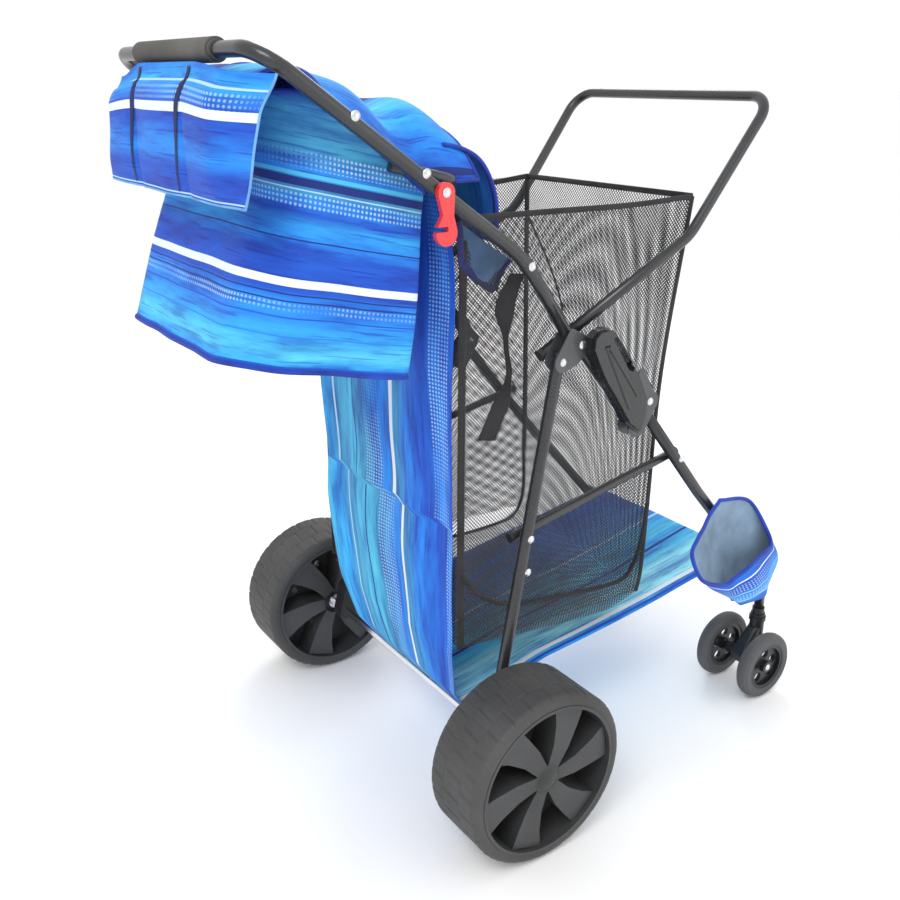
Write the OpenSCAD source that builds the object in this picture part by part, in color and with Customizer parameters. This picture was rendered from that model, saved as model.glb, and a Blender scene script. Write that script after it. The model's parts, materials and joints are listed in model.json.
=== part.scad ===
// Folding beach cart: two wide sand wheels, two twin-wheel swivel casters, a folding tube frame,
// a mesh basket, a hanging sheet with a platform, a tote behind the handle and small bags.
// X points forward, Y to the left, Z up. Named points give x from the rear axle and z from the
// ground, and the whole cart is moved so that its box is centred on the origin.

/* [Rear wheels] */
// Outer diameter of a rear wheel
wheel_d = 270; // [262:1:276]
// Width of a rear wheel
wheel_w = 112; // [100:1:118]
// Distance from the cart's middle to a rear wheel's inner face
wheel_inner_y = 258; // [256:1:264]
// Spokes on each face of a rear wheel
spokes = 6; // [5:1:7]
// Diameter of the steel axle
axle_d = 12.7; // [10:0.1:14]

/* [Frame tubes] */
// Diameter of the handle and leg tubes
tube_d = 18; // [16:0.5:19]
// Diameter of the front hoop's tube
hoop_d = 16; // [14:0.5:16]
// Diameter of the upper link's tube
link_d = 16; // [14:0.5:17]
// Diameter of the brace's tube
brace_d = 14; // [12:0.5:15]
// Wall thickness of every tube
tube_wall = 1.5; // [1:0.1:2]
// Distance from the cart's middle to the handle and leg tubes
side_y = 229; // [229:1:231]

/* [Handle] */
// Height of the push bar's middle
bar_z = 1103; // [1090:1:1110]
// Distance of the push bar behind the axle
bar_back = 313; // [306:1:316]
// Length of the foam grip
grip_len = 243; // [200:1:260]
// Outer diameter of the foam grip
grip_d = 28; // [25:0.5:30]

/* [Casters] */
// Diameter of a caster wheel
caster_d = 124; // [118:1:126]
// Width of a caster wheel
caster_w = 25; // [22:1:27]
// Distance from the caster's middle to a wheel's middle
caster_half_track = 47; // [44:1:49]
// Distance that the caster's axle trails behind its stem
caster_trail = 34; // [30:1:38]

/* [Soft goods] */
// Thickness of the hanging sheet and the platform
sheet_t = 3; // [2:0.5:4]
// Width of the sheet
sheet_w = 380; // [360:1:386]
// Width of the mesh basket
basket_w = 390; // [380:1:396]
// Thickness of the basket's walls
basket_t = 3; // [2:0.5:4]
// Thickness of the tote's cloth
tote_t = 2; // [1:0.5:3]
// Width of the tote
tote_w = 392; // [380:1:398]
// Width of the pocket panel on the push bar
panel_w = 450; // [430:1:456]

/* [Hidden] */
$fn = 48;
RIGHT = -1;
LEFT = 1;
SIDES = [RIGHT, LEFT];
gap = 0.3;
pin_gap = 0.05;

// named points, as [x from the rear axle, z from the ground]
wheel_r = wheel_d / 2;
axle = [0, wheel_r];
leg_pivot = [108, 704];
link_pivot = [142, 724];
hoop_pivot = [133, 730];
knee_pivot = [260, 583];
knee_rivet = [284, 615];
brace_front = [367, 503];
brace_rear = [61, 446];
catch_point = [57, 394];
front_bend = [420, 432];
front_foot = [621, 211];
bar = [-bar_back, bar_z];
handle_bend = [43, 851.6];
handle_end = [118, 745];
bend_rivet = [50, 842];
grip_rivet = [-206, 1034.5];
stay_rivet = [-113, 968];
hook_pivot = [-90, 945.5];
hoop_tail = [96.3, 712.1];
hoop_bend = [374, 850];
hoop_top = [524, 1044];
stay_back = [-146, 976];
stay_front = [-45, 953];
crossbar_point = [594, 241];
caster_stem_x = front_foot[0];

// heights and layers that several parts share
leg_top = 12;
stem_bottom_z = 150;
plate_t = 2;
plug = 3;
tube_sides = 20;
bend_step = 15;
outer_plate_y = side_y + tube_d / 2 + gap;
inner_plate_y = side_y - tube_d / 2 - gap - plate_t;
hoop_y = inner_plate_y - gap - hoop_d / 2 - 0.4;
hoop_top_y = 217;
brace_y = side_y - tube_d / 2 - 1 - brace_d / 2 - 2;
stay_d = 14;
stay_y = inner_plate_y - 1 - stay_d / 2;
pin_r = 4;
rivet_head_r = 6;
rivet_head_h = 2.5;
caster_axle_z = caster_d / 2;
caster_x = caster_stem_x - caster_trail;
hub_r = 24;
rim_r = 113;
panel_back = 347;
tote_round = 20;
front_x = caster_x + caster_d / 2;
centre_x = (front_x - panel_back) / 2;

// ---- small helpers ----

function unit(v) = v / norm(v);
function polar(r, a) = [r * cos(a), r * sin(a)];
// a named point at a distance y to the left of the middle
function at(p, y) = [p[0], y, p[1]];
// the cross direction that a rod along d uses as its own x
function across(d) = unit(cross(abs(d[1]) > 0.9 ? [1, 0, 0] : [0, 1, 0], d));

// moves what is drawn from the rear axle to the origin
module placed() {
    translate([-centre_x, 0, 0]) children();
}

// turns local x, y and z to the three given directions, and moves them to p
module oriented(x, y, z, p) {
    multmatrix([
        [x[0], y[0], z[0], p[0]],
        [x[1], y[1], z[1], p[1]],
        [x[2], y[2], z[2], p[2]],
        [0, 0, 0, 1]
    ]) children();
}

// a round rod from a to b
module rod(a, b, r) {
    d = unit(b - a);
    x = across(d);
    oriented(x, cross(d, x), d, a) cylinder(h = norm(b - a), r = r);
}

// a cylinder along Y from y0 to y1, at a named point
module bar_y(p, y0, y1, r) {
    translate([p[0], max(y0, y1), p[1]]) rotate([90, 0, 0]) cylinder(h = abs(y1 - y0), r = r);
}

// an outline in x and z, made solid along Y from y0 to y1
module slab_y(y0, y1) {
    translate([0, max(y0, y1), 0]) rotate([90, 0, 0]) linear_extrude(abs(y1 - y0)) children();
}

// A tube follows a path p with a bend radius for each inner point. These give the direction of
// a stretch, the angle at a point, how far its bend reaches, and the way that it turns.
function dir(p, i) = unit(p[i + 1] - p[i]);
function turn(p, i) = acos(dir(p, i - 1) * dir(p, i));
function reach(p, bends, i) = bends[i - 1] * tan(turn(p, i) / 2);
function toward(p, i) = unit(dir(p, i) - dir(p, i - 1) * (dir(p, i) * dir(p, i - 1)));
function turned(v, n, a) = v * cos(a) + cross(n, v) * sin(a) + n * (n * v) * (1 - cos(a));

// the rings of the bend at point i and of all later bends, each as [middle, direction, side];
// u is the side direction that arrives at the bend
function bend_rings(p, bends, i, u) =
    i == len(p) - 1 ? [[p[i], dir(p, i - 1), u]]
    : let (
        d = dir(p, i - 1),
        a = turn(p, i),
        n = cross(d, toward(p, i)),
        start = p[i] - d * reach(p, bends, i),
        middle = start + toward(p, i) * bends[i - 1],
        steps = max(2, ceil(a / bend_step))
    ) concat(
        [for (k = [0 : steps]) [
            middle + turned(start - middle, n, a * k / steps),
            turned(d, n, a * k / steps),
            turned(u, n, a * k / steps)
        ]],
        bend_rings(p, bends, i + 1, turned(u, n, a))
    );

// a solid rod of radius r that follows the path
module bent_rod(p, bends, r) {
    u = across(dir(p, 0));
    rings = concat([[p[0], dir(p, 0), u]], bend_rings(p, bends, 1, u));
    last = (len(rings) - 1) * tube_sides;
    polyhedron(
        points = [for (ring = rings, j = [0 : tube_sides - 1])
            ring[0] + turned(ring[2], ring[1], j * 360 / tube_sides) * r],
        faces = concat(
            [for (j = [1 : tube_sides - 2]) [0, j, j + 1]],
            [for (j = [1 : tube_sides - 2]) [last, last + j + 1, last + j]],
            [for (k = [0 : len(rings) - 2], j = [0 : tube_sides - 1])
                let (o = k * tube_sides, next = (j + 1) % tube_sides)
                [o + j, o + tube_sides + j, o + next]],
            [for (k = [0 : len(rings) - 2], j = [0 : tube_sides - 1])
                let (o = k * tube_sides, next = (j + 1) % tube_sides)
                [o + next, o + tube_sides + j, o + tube_sides + next]]
        )
    );
}

// the same path with its two ends drawn in by the length of a plug
function plugged(p) = [for (i = [0 : len(p) - 1])
    i == 0 ? p[0] + dir(p, 0) * plug
    : i == len(p) - 1 ? p[i] - dir(p, i - 1) * plug
    : p[i]];

// a hollow tube with plugged ends that follows the path
module bent_tube(p, bends, d) {
    difference() {
        bent_rod(p, bends, d / 2);
        bent_rod(plugged(p), bends, d / 2 - tube_wall);
    }
}

// a straight hollow tube with plugged ends
module straight_tube(a, b, d) {
    difference() {
        rod(a, b, d / 2);
        rod(a + unit(b - a) * plug, b - unit(b - a) * plug, d / 2 - tube_wall);
    }
}

// the hole for a pin through all of one side's layers
module side_hole(p, side, r = pin_r) {
    bar_y(p, side * (side_y - 40), side * (side_y + 60), r);
}

// a rivet through one side's parts, with a domed head on the outside
module rivet(p, side, y_in, y_out, r = pin_r) {
    bar_y(p, side * y_in, side * y_out, r);
    dome(p, side, y_out);
}

// the domed head of a rivet, standing on a face at y
module dome(p, side, y) {
    sphere_r = (rivet_head_r * rivet_head_r + rivet_head_h * rivet_head_h) / (2 * rivet_head_h);
    a = asin(rivet_head_r / sphere_r);
    translate([p[0], side * y, p[1]]) rotate([-90 * side, 0, 0])
        intersection() {
            translate([0, 0, rivet_head_h - sphere_r]) sphere(sphere_r);
            cylinder(h = rivet_head_h, r = rivet_head_r);
        }
}

// ---- rear axle, legs and brackets ----

module rear_axle() color("silver") placed()
    bar_y(axle, -wheel_inner_y - wheel_w + 12, wheel_inner_y + wheel_w - 12, axle_d / 2);

// a washer on each side of each wheel hub keeps the wheel in its place
module axle_clips() color("gainsboro") placed() for (side = SIDES, far = [false, true]) {
    y = side * (far ? wheel_inner_y + wheel_w - 18 : wheel_inner_y + 8);
    difference() {
        bar_y(axle, y - 1, y + 1, axle_d / 2 + 7);
        bar_y(axle, y - 2, y + 2, axle_d / 2);
    }
}

function along(a, b, t) = a + (b - a) * t;
leg_dir = unit(leg_pivot - axle);
leg_start = axle + leg_dir * 16;
leg_end = leg_pivot + leg_dir * leg_top;

module rear_leg(side) color("#26282b") placed() difference() {
    straight_tube(at(leg_start, side * side_y), at(leg_end, side * side_y), tube_d);
    for (p = [leg_pivot, brace_rear, catch_point]) side_hole(p, side);
}

// a moulded shoe that holds the leg's end and the axle
module axle_bracket(side) color("#1c1d1f") placed() {
    y0 = side * (side_y - tube_d / 2 - 4);
    y1 = side * (side_y + tube_d / 2 + 4);
    top = axle + leg_dir * 46;
    difference() {
        hull() {
            bar_y(axle, y0, y1, 15, $fn = 32);
            bar_y(top, y0, y1, 12.5, $fn = 32);
        }
        side_hole(axle, side, axle_d / 2);
        rod(at(leg_start, side * side_y), at(leg_end, side * side_y), tube_d / 2);
    }
}

// pivot pins and the catch pin that stay with the rear legs
module leg_pins() color("silver") placed() for (side = SIDES) {
    rivet(leg_pivot, side, inner_plate_y, outer_plate_y + plate_t + gap);
    rivet(brace_rear, side, brace_y - brace_d / 2 - 1, side_y + tube_d / 2);
    rivet(catch_point, side, side_y - tube_d / 2, side_y + tube_d / 2);
}

// ---- handle ----

function mirrored(p) = [p[0], -p[1], p[2]];
function both_ways(half) =
    concat(half, [for (i = [len(half) - 1 : -1 : 0]) mirrored(half[i])]);

handle_half = [for (p = [handle_end, handle_bend, bar]) at(p, RIGHT * side_y)];

module handle_holes() {
    for (side = SIDES, p = [grip_rivet, stay_rivet, bend_rivet]) side_hole(p, side);
    side_hole(hook_pivot, RIGHT);
}

module handle_tube() color("#26282b") placed() difference() {
    bent_tube(both_ways(handle_half), [200, 45, 45, 200], tube_d);
    handle_holes();
}

module handle_grip() color("#3a3a3c") placed() difference() {
    union() {
        bar_y(bar, -grip_len / 2, grip_len / 2, grip_d / 2);
        for (end = [-1, 1]) bar_y(bar, end * grip_len / 2, end * (grip_len / 2 + 5), 11.5);
    }
    bar_y(bar, -grip_len, grip_len, tube_d / 2);
}

// the outline of a hub plate: rounded over both pivots
module hub_plate_outline() {
    hull() {
        translate(leg_pivot) circle(15);
        translate(link_pivot) circle(14);
        translate(along(leg_pivot, link_pivot, 0.6) + [3, -10]) circle(9);
        translate(handle_end + [5, -3]) circle(7);
    }
}

module hub_plates(side) color("#5b6064") placed() difference() {
    union() {
        for (y = [inner_plate_y, outer_plate_y])
            slab_y(side * y, side * (y + plate_t)) hub_plate_outline($fn = 32);
        // block that ties the two plates to the handle's end
        tie = handle_end + unit(handle_end - handle_bend) * 5;
        bar_y(tie, side * (inner_plate_y + plate_t), side * outer_plate_y, 4.5);
    }
    side_hole(leg_pivot, side, pin_r + pin_gap);
    side_hole(link_pivot, side);
}

// link pivot pins and the studs that the hoop turns on, which stay with the handle
module hub_pins() color("silver") placed() for (side = SIDES) {
    rivet(link_pivot, side, inner_plate_y, outer_plate_y + plate_t);
    bar_y(hoop_pivot, side * (hoop_y - hoop_d / 2 - 3), side * inner_plate_y, pin_r);
    bar_y(hoop_pivot, side * (hoop_y - hoop_d / 2 - 3), side * (hoop_y - hoop_d / 2 - 1), 7);
}

// U-shaped stay that holds the sheet's top edge between the handle's sides
stay_half = [for (p = [stay_back, stay_front]) at(p, RIGHT * stay_y)];

module tote_stay() color("#1f2022") placed() difference() {
    bent_tube(both_ways(stay_half), [30, 30], stay_d);
    for (side = SIDES) side_hole(stay_rivet, side);
}

module handle_rivets() color("silver") placed() {
    for (side = SIDES) {
        for (p = [grip_rivet, bend_rivet]) rivet(p, side, side_y - tube_d / 2, side_y + tube_d / 2);
        rivet(stay_rivet, side, stay_y - stay_d / 2, side_y + tube_d / 2);
    }
    rivet(hook_pivot, RIGHT, side_y - tube_d / 2, side_y + tube_d / 2 + 8);
}

hook_t = 7;
hook_waist = hook_pivot + [3, -28];
hook_bulb = hook_pivot + [0, -48];

// red hook: a plate with a waist below its pivot and a slot in its round lower end
module safety_hook() color("#d8262c") placed() {
    y0 = -side_y - tube_d / 2 - gap;
    difference() {
        slab_y(y0, y0 - hook_t) difference() {
            for (ends = [[hook_pivot, 12], [hook_bulb, 15.5]]) hull() {
                translate(hook_waist) circle(7.5, $fn = 32);
                translate(ends[0]) circle(ends[1], $fn = 32);
            }
            translate(hook_bulb + [-18, 2]) square([20, 6]);
        }
        side_hole(hook_pivot, RIGHT, pin_r + pin_gap);
    }
}

// ---- front hoop ----

hoop_half = [
    at(hoop_tail, RIGHT * hoop_y), at(hoop_bend, RIGHT * (hoop_y + 1)), at(hoop_top, RIGHT * hoop_top_y)
];

module hoop_tube() color("#26282b") placed() difference() {
    bent_tube(both_ways(hoop_half), [70, 38, 38, 70], hoop_d);
    for (side = SIDES) side_hole(hoop_pivot, side, pin_r + pin_gap);
}

module hoop_caps() color("#121314") placed() for (side = SIDES) {
    end = at(hoop_tail, side * hoop_y);
    d = unit(at(hoop_bend, side * (hoop_y + 1)) - end);
    rod(end - d * 7, end, hoop_d / 2 + 0.6);
}

// ---- upper links and latches ----

link_dir = unit(knee_pivot - link_pivot);
latch_pivot = along(link_pivot, knee_pivot, 0.70);

module upper_link(side) color("#3b3d40") placed() difference() {
    straight_tube(
        at(link_pivot - link_dir * 9, side * side_y), at(knee_pivot + link_dir * 9, side * side_y), link_d
    );
    side_hole(link_pivot, side, pin_r + pin_gap);
    for (p = [knee_pivot, latch_pivot]) side_hole(p, side);
}

latch_y = outer_plate_y + plate_t + rivet_head_h + 0.7;
latch_base = 13;
latch_body = 19;
latch_pin_depth = 11;

// the pins that stay with the upper links: the lever's pivot and the knee's
module link_pins() color("silver") placed() for (side = SIDES) {
    rivet(knee_pivot, side, inner_plate_y, outer_plate_y + plate_t + gap);
    bar_y(latch_pivot, side * (side_y - link_d / 2), side * (latch_y + latch_pin_depth), pin_r);
    bar_y(latch_pivot, side * (latch_y - 0.5), side * (side_y + link_d / 2), 8);
}

// the lever's outline: a broad body round the pivot that narrows to a hooked finger grip
function lever_outline() = [
    [246, 577], [255, 603], [257, 630], [237, 671], [204, 719], [187, 739], [172, 747], [154, 745],
    [144, 736], [142, 720], [158, 688], [170, 668], [190, 641], [220, 597]
];

// the long opening beside the finger grip's outer rib
function lever_slot() = [[179, 731], [185, 734], [225, 684], [221, 677], [212, 682]];

module latch_lever(side) color("#17181a") placed() difference() {
    union() {
        slab_y(side * latch_y, side * (latch_y + latch_base)) polygon(lever_outline());
        slab_y(side * (latch_y + latch_base), side * (latch_y + latch_body))
            offset(delta = -3) polygon(lever_outline());
        // two ribs that run down the lever
        for (shift = [0, 17]) {
            top = at([166 + shift * 0.3, 722], side * (latch_y + latch_body - 1));
            low = at([218 + shift * 0.9, 622 + shift], side * (latch_y + latch_body - 1));
            rod(top, low, 3);
        }
    }
    slab_y(side * (latch_y - 1), side * (latch_y + latch_body + 5)) polygon(lever_slot());
    bar_y(latch_pivot, side * (latch_y - 1), side * (latch_y + latch_pin_depth + gap), pin_r + pin_gap);
}

// ---- front legs ----

module knee_plate_outline() {
    hull() {
        translate(knee_pivot) circle(20);
        translate(knee_rivet) circle(16);
    }
    hull() {
        translate(knee_rivet) circle(12);
        translate([262, 664]) circle(6);
    }
}

module knee_plates(side) color("#5b6064") placed() difference() {
    for (y = [inner_plate_y, outer_plate_y])
        slab_y(side * y, side * (y + plate_t)) knee_plate_outline($fn = 32);
    side_hole(knee_pivot, side, pin_r + pin_gap);
    side_hole(knee_rivet, side);
}

// the rivets that hold the plates on the front legs, and the pins for the braces' front ends
module knee_rivets() color("silver") placed() for (side = SIDES) {
    rivet(knee_rivet, side, inner_plate_y, outer_plate_y + plate_t);
    rivet(brace_front, side, side_y - tube_d / 2, side_y + tube_d / 2);
}

front_leg_dir = unit(front_bend - knee_rivet);

function front_leg_points(side) = [
    at(knee_rivet - front_leg_dir * 12, side * side_y), at(front_bend, side * side_y),
    at(front_foot, side * side_y), at([front_foot[0], stem_bottom_z], side * side_y)
];

module front_leg(side) color("#26282b") placed() difference() {
    bent_tube(front_leg_points(side), [250, 40], tube_d);
    for (p = [knee_rivet, brace_front, crossbar_point]) side_hole(p, side);
}

module front_crossbar() color("#26282b") placed() difference() {
    bar_y(crossbar_point, -side_y + tube_d / 2, side_y - tube_d / 2, 8);
    for (side = SIDES) bar_y(crossbar_point, side * (side_y - 30), side * side_y, pin_r);
}

module crossbar_rivets() color("silver") placed() for (side = SIDES)
    rivet(crossbar_point, side, side_y - 28, side_y + tube_d / 2);

// ---- braces ----

brace_dir = unit(brace_front - brace_rear);

module brace(side) color("#26282b") placed() difference() {
    straight_tube(
        at(brace_rear - brace_dir * 14, side * brace_y), at(brace_front + brace_dir * 9, side * brace_y), brace_d
    );
    side_hole(brace_rear, side, pin_r + pin_gap);
}

module brace_caps() color("#121314") placed() for (side = SIDES) {
    back = at(brace_rear - brace_dir * 14, side * brace_y);
    front = at(brace_front + brace_dir * 9, side * brace_y);
    d = unit(front - back);
    rod(back - d * 5, back, brace_d / 2 + 0.6);
    rod(front, front + d * 5, brace_d / 2 + 0.6);
}

// ---- casters ----

stem_r = 5;
housing_top_z = 138;

// collar and steel stem under each front leg
module caster_sockets() color("#1c1d1f") placed() for (side = SIDES)
    translate([caster_stem_x, side * side_y, 0]) {
        translate([0, 0, housing_top_z + gap]) cylinder(h = stem_bottom_z - housing_top_z - gap, r = 11);
        translate([0, 0, 100]) cylinder(h = housing_top_z - 100 + gap, r = stem_r);
    }

module caster_housing(side) color("#17181a") placed() translate([0, side * side_y, 0]) difference() {
    union() {
        translate([caster_stem_x, 0, 92]) cylinder(h = housing_top_z - 92, r = 13);
        translate([caster_stem_x, 0, 124]) cylinder(h = 8, r = 15);
        hull() {
            bar_y([caster_x, caster_axle_z], -12, 12, 17, $fn = 32);
            translate([caster_stem_x - 3, 0, 92]) cylinder(h = 20, r = 12, $fn = 32);
        }
        bar_y([caster_x, caster_axle_z], -caster_half_track + 14, caster_half_track - 14, 9);
    }
    translate([caster_stem_x, 0, 98]) cylinder(h = 60, r = stem_r + pin_gap);
    bar_y([caster_x, caster_axle_z], -60, 60, pin_r);
}

module caster_axle(side) color("silver") placed() translate([0, side * side_y, 0]) {
    reach_y = caster_half_track + caster_w / 2;
    bar_y([caster_x, caster_axle_z], -reach_y, reach_y, pin_r);
    for (end = [-1, 1]) dome([caster_x, caster_axle_z], end, reach_y);
}

function caster_wheel_y(side, out) = side * (side_y + out * caster_half_track);

module caster_rim(side, out) color("#1b1c1e") placed() {
    y = caster_wheel_y(side, out);
    p = [caster_x, caster_axle_z];
    half = caster_w / 2 - 0.6;
    difference() {
        union() {
            bar_y(p, y - half, y + half, 11);
            bar_y(p, y - 3.5, y + 3.5, 40);
            difference() {
                bar_y(p, y - half + 2, y + half - 2, 43);
                bar_y(p, y - half - 1, y + half + 1, 37);
            }
        }
        bar_y(p, y - 20, y + 20, pin_r + pin_gap);
        for (a = [0 : 72 : 359]) bar_y(p + polar(24.5, a + 18), y - 20, y + 20, 8.5);
    }
}

module caster_tyre(side, out) color("#6b6c6e") placed() {
    half = caster_w / 2;
    r = caster_d / 2;
    translate([caster_x, caster_wheel_y(side, out), caster_axle_z]) rotate([90, 0, 0])
        rotate_extrude() polygon([
            [43, -half + 2], [45, -half], [r - 7, -half], [r - 2, -half + 4], [r, -half + 9],
            [r, half - 9], [r - 2, half - 4], [r - 7, half], [45, half], [43, half - 2]
        ]);
}

// ---- rear wheels ----

wheel_mid_y = wheel_inner_y + wheel_w / 2;

// one spoke, narrow at the hub and wide at the rim, swept round like a turbine blade
function spoke_outline() = [
    polar(hub_r - 2, -26), polar(55, -13), polar(90, -6), polar(rim_r + 1, -3),
    polar(rim_r + 1, 25), polar(88, 22), polar(55, 20), polar(hub_r - 2, 30)
];

module wheel_rim(side) color("#3b3d40") placed() {
    web = 8;
    face_in = 7;
    hole_r = 6;
    translate([0, side * wheel_mid_y, wheel_r]) rotate([90, 0, 0]) difference() {
        union() {
            cylinder(h = wheel_w - 32, r = hub_r, center = true);
            cylinder(h = web, r = rim_r, center = true);
            difference() {
                cylinder(h = wheel_w, r = rim_r + 5, center = true);
                cylinder(h = wheel_w + 1, r = rim_r, center = true);
            }
            for (a = [0 : 360 / spokes : 359]) rotate(a)
                linear_extrude(wheel_w - 2 * face_in, center = true) polygon(spoke_outline());
        }
        cylinder(h = wheel_w, r = axle_d / 2 + pin_gap, center = true);
        for (end = [-1, 1]) translate([0, 0, end * (wheel_w / 2 - 10)])
            cylinder(h = 20, r = hub_r - 1, center = true);
        for (a = [0 : 360 / spokes : 359]) rotate(a - 180 / spokes + 11) translate([66, 0, 0])
            cylinder(h = web * 2, r = hole_r, center = true);
    }
}

module wheel_tyre(side) color("#4a4b4c") placed() {
    half = wheel_w / 2;
    translate([0, side * wheel_mid_y, wheel_r]) rotate([90, 0, 0]) rotate_extrude() polygon([
        [rim_r + 5, -half], [wheel_r - 8, -half], [wheel_r - 2, -half + 4], [wheel_r, -half + 10],
        [wheel_r, half - 10], [wheel_r - 2, half - 4], [wheel_r - 8, half], [rim_r + 5, half]
    ]);
}

// a cap over the axle's outer end, pressed into the hub's recess
module hub_cap(side) color("#2b2c2e") placed() {
    y = wheel_inner_y + wheel_w - 11;
    bar_y(axle, side * y, side * (y + 4), hub_r - 1);
    dome_cap(side, y + 4);
}

module dome_cap(side, y) {
    big_r = 60;
    h = big_r - sqrt(big_r * big_r - 18 * 18);
    translate([0, side * y, wheel_r]) rotate([-90 * side, 0, 0]) intersection() {
        translate([0, 0, h - big_r]) sphere(big_r);
        cylinder(h = h, r = 18);
    }
}

// ---- soft goods ----

module rear_sheet() color("#2f7fd6") placed() slab_y(-sheet_w / 2, sheet_w / 2) polygon([
    [-36, 938], [-36 - sheet_t, 938], [-38 - sheet_t, 700], [-38 - sheet_t, 240], [-22, 160],
    [-10, 144], [-6, 147], [-18, 163], [-38 + sheet_t, 241], [-38, 700]
]);

module platform_sheet() color("#57c1e8") placed() slab_y(-sheet_w / 2, sheet_w / 2) polygon([
    [-6, 144], [8, 144], [150, 186], [400, 218], [585, 250.5], [600, 250.5], [600, 254],
    [584, 254], [400, 221], [150, 189], [-5, 147]
]);

// basket outlines, seen from the side: outside and hollow
function basket_outer() = [
    [-30, 905], [-34, 272], [274, 241], [338, 256], [350, 300], [352, 620], [392, 905]
];
function basket_inner() = [
    [-27, 950], [-31, 275], [274, 244.2], [336, 259], [347, 301], [349, 621], [388, 905], [388, 950]
];

module mesh_basket() color("#2a2b2d") placed() difference() {
    slab_y(-basket_w / 2, basket_w / 2) polygon(basket_outer());
    slab_y(-basket_w / 2 + basket_t, basket_w / 2 - basket_t) polygon(basket_inner());
}

// the space that the tote takes, less an inset on every side
module tote_space(inset) {
    hull() for (p = [[-302, 1058], [-306, 780], [-150, 742], [-124, 905], [-205, 1030]])
        bar_y(p, -tote_w / 2 + inset, tote_w / 2 - inset, tote_round - inset, $fn = 32);
}

module tote_bag() color("#1f6fe0") placed() difference() {
    tote_space(0);
    tote_space(tote_t);
}

module pocket_panel() color("#2a86e8") placed() slab_y(-panel_w / 2, panel_w / 2) polygon([
    [-panel_back, 945], [-panel_back, 1080], [-340, 1092], [-330, 1092], [-330, 945]
]);

// open bag on the outside of the right front leg
pouch_mid = [474, 312];

module leg_pouch() color("#2a86e8") placed() {
    back_y = -side_y - tube_d / 2 - gap - 1;
    lean = 38;
    translate([pouch_mid[0], back_y, pouch_mid[1]]) rotate([0, -lean, 0]) difference() {
        translate([-62, -70, -85]) cube([124, 70, 170]);
        translate([-59, -67, -82]) cube([118, 64, 200]);
    }
}

// black webbing that hangs from the handle, inside the basket
module tie_strap() color("#101113") placed() slab_y(-162, -142) polygon([
    [93, 806], [96, 806], [80, 730], [73, 633], [37, 579], [34, 581], [70, 635], [77, 731]
]);

rear_axle();
axle_clips();
rear_leg(RIGHT);  // rear_leg_right
rear_leg(LEFT);  // rear_leg_left
axle_bracket(RIGHT);  // axle_bracket_right
axle_bracket(LEFT);  // axle_bracket_left
leg_pins();
handle_tube();
handle_grip();
hub_plates(RIGHT);  // hub_plates_right
hub_plates(LEFT);  // hub_plates_left
hub_pins();
tote_stay();
handle_rivets();
safety_hook();
hoop_tube();
hoop_caps();
upper_link(RIGHT);  // upper_link_right
upper_link(LEFT);  // upper_link_left
link_pins();
latch_lever(RIGHT);  // latch_lever_right
latch_lever(LEFT);  // latch_lever_left
knee_plates(RIGHT);  // knee_plates_right
knee_plates(LEFT);  // knee_plates_left
knee_rivets();
front_leg(RIGHT);  // front_leg_right
front_leg(LEFT);  // front_leg_left
front_crossbar();
crossbar_rivets();
brace(RIGHT);  // brace_right
brace(LEFT);  // brace_left
brace_caps();
caster_sockets();
caster_housing(RIGHT);  // caster_housing_right
caster_housing(LEFT);  // caster_housing_left
caster_axle(RIGHT);  // caster_axle_right
caster_axle(LEFT);  // caster_axle_left
caster_rim(RIGHT, 1);  // caster_rim_right_outer
caster_rim(RIGHT, -1);  // caster_rim_right_inner
caster_rim(LEFT, 1);  // caster_rim_left_outer
caster_rim(LEFT, -1);  // caster_rim_left_inner
caster_tyre(RIGHT, 1);  // caster_tyre_right_outer
caster_tyre(RIGHT, -1);  // caster_tyre_right_inner
caster_tyre(LEFT, 1);  // caster_tyre_left_outer
caster_tyre(LEFT, -1);  // caster_tyre_left_inner
wheel_rim(RIGHT);  // wheel_rim_right
wheel_rim(LEFT);  // wheel_rim_left
wheel_tyre(RIGHT);  // wheel_tyre_right
wheel_tyre(LEFT);  // wheel_tyre_left
hub_cap(RIGHT);  // hub_cap_right
hub_cap(LEFT);  // hub_cap_left
rear_sheet();
platform_sheet();
mesh_basket();
tote_bag();
pocket_panel();
leg_pouch();
tie_strap();
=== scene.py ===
"""The beach cart's looks: smooth tubes, treaded wheels, cloth, net and procedural materials."""

import json
import math

import bmesh
import bpy
from mathutils import Matrix, Vector, noise


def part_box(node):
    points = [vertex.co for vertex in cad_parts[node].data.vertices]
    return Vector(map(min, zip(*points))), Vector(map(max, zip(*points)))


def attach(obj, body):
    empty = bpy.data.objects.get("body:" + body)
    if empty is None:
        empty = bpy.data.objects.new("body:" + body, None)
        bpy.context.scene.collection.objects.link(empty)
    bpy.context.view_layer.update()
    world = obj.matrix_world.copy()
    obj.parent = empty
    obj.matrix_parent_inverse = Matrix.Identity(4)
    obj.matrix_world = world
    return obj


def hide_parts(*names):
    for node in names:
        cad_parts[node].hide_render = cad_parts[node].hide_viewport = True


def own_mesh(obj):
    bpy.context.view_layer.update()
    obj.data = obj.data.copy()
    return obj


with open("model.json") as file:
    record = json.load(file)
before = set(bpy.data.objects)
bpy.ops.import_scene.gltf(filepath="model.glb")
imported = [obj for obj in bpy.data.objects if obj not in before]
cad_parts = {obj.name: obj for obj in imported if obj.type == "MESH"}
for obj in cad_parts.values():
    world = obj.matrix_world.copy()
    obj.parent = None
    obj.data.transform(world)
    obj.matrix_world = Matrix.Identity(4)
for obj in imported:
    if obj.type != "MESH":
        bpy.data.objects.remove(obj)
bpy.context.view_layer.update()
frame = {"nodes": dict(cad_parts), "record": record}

MM = 0.001
RIGHT, LEFT = -1, 1
SIDES = {"right": RIGHT, "left": LEFT}
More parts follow.
